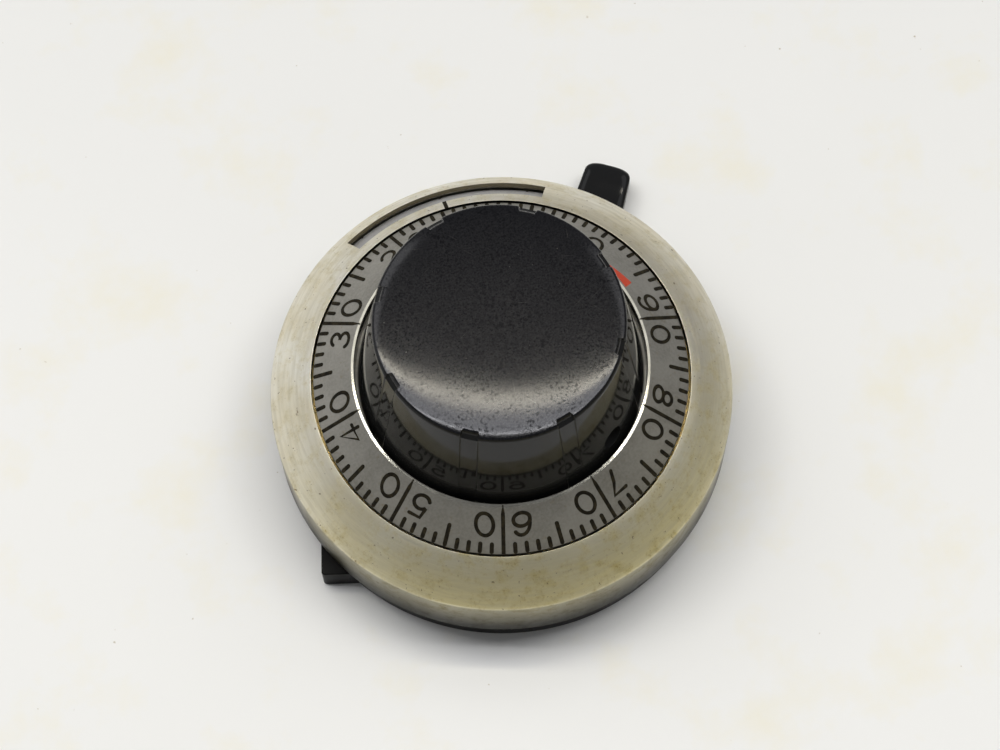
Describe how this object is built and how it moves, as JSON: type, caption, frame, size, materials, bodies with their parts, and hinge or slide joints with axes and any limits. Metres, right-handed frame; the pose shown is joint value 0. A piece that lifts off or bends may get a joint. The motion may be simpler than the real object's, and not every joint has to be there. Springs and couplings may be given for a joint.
{
  "type": "turns counting dial",
  "caption": "Multi-turn counting dial for a quarter-inch control shaft: knob, 0-100 main dial, geared turns dial behind an arc window, and a lever brake.",
  "frame": {"origin": "on the shaft axis at the rear face that lies against the panel", "axes": "+Z out of the panel along the shaft towards the knob, +Y from the shaft towards the middle of the turns window"},
  "size_m": [0.046, 0.0475, 0.0293],
  "materials": {
    "satin_nickel": "satin, lightly tarnished",
    "grey_dial": "satin with black filled engraving",
    "black_gloss": "glossy black phenolic, worn",
    "black_moulding": "semi-matt black moulding",
    "brass": "turned",
    "steel": "bright",
    "nylon": "matt",
    "friction_pad": "matt friction pad"
  },
  "bodies": {
    "housing": {"cover_shell": "satin_nickel", "base_plate": "black_moulding", "lug_insert": "brass", "bearing_plate": "steel", "hub_bushing": "brass", "fixed_ring_gear": "brass", "counter_runner": "nylon", "lever_pivot_pin": "steel", "cover_screw_1": "steel", "cover_screw_2": "steel", "cover_screw_3": "steel", "frame_screw_1": "steel", "frame_screw_2": "steel", "frame_screw_3": "steel"},
    "knob_and_dial": {"knob": "black_gloss", "hub": "brass", "main_dial": "grey_dial", "hub_clip": "steel", "thrust_washer": "nylon", "planet_stud": "steel", "planet_clip": "steel", "set_screw_1": "steel", "set_screw_2": "steel", "dial_screw_1": "steel", "dial_screw_2": "steel", "dial_screw_3": "steel"},
    "planet": {"planet_gear": "brass"},
    "turns_dial": {"counter_dial": "grey_dial", "counter_ring_gear": "brass"},
    "lever": {"lock_lever": "black_gloss"},
    "brake": {"brake_shoe": "brass", "brake_pad": "friction_pad"}
  },
  "joints": [
    {"name": "knob_turn", "type": "hinge", "parent": "housing", "child": "knob_and_dial", "pos_m": [0, 0, 0.004], "axis": [0, 0, 1], "continuous": true},
    {"name": "planet_spin", "type": "hinge", "parent": "knob_and_dial", "child": "planet", "pos_m": [-0.01352, -0.00362, 0.009], "axis": [0, 0, 1], "continuous": true},
    {"name": "turns_dial_turn", "type": "hinge", "parent": "housing", "child": "turns_dial", "pos_m": [0, 0, 0.01], "axis": [0, 0, 1], "continuous": true},
    {"name": "lever_swing", "type": "hinge", "parent": "housing", "child": "lever", "pos_m": [0.01092, 0.011, 0.002], "axis": [0, 0, -1], "range_deg": [0, 23]},
    {"name": "brake_slide", "type": "slide", "parent": "housing", "child": "brake", "axis": [-0.7046, -0.7096, 0], "range_m": [0, 0.00055]}
  ],
  "couplings": [
    {"joint": "planet_spin", "follows": "knob_turn", "ratio": -4.6667},
    {"joint": "turns_dial_turn", "follows": "knob_turn", "ratio": 0.066667},
    {"joint": "lever_swing", "follows": "brake_slide", "rad_per_m": 729.86}
  ]
}
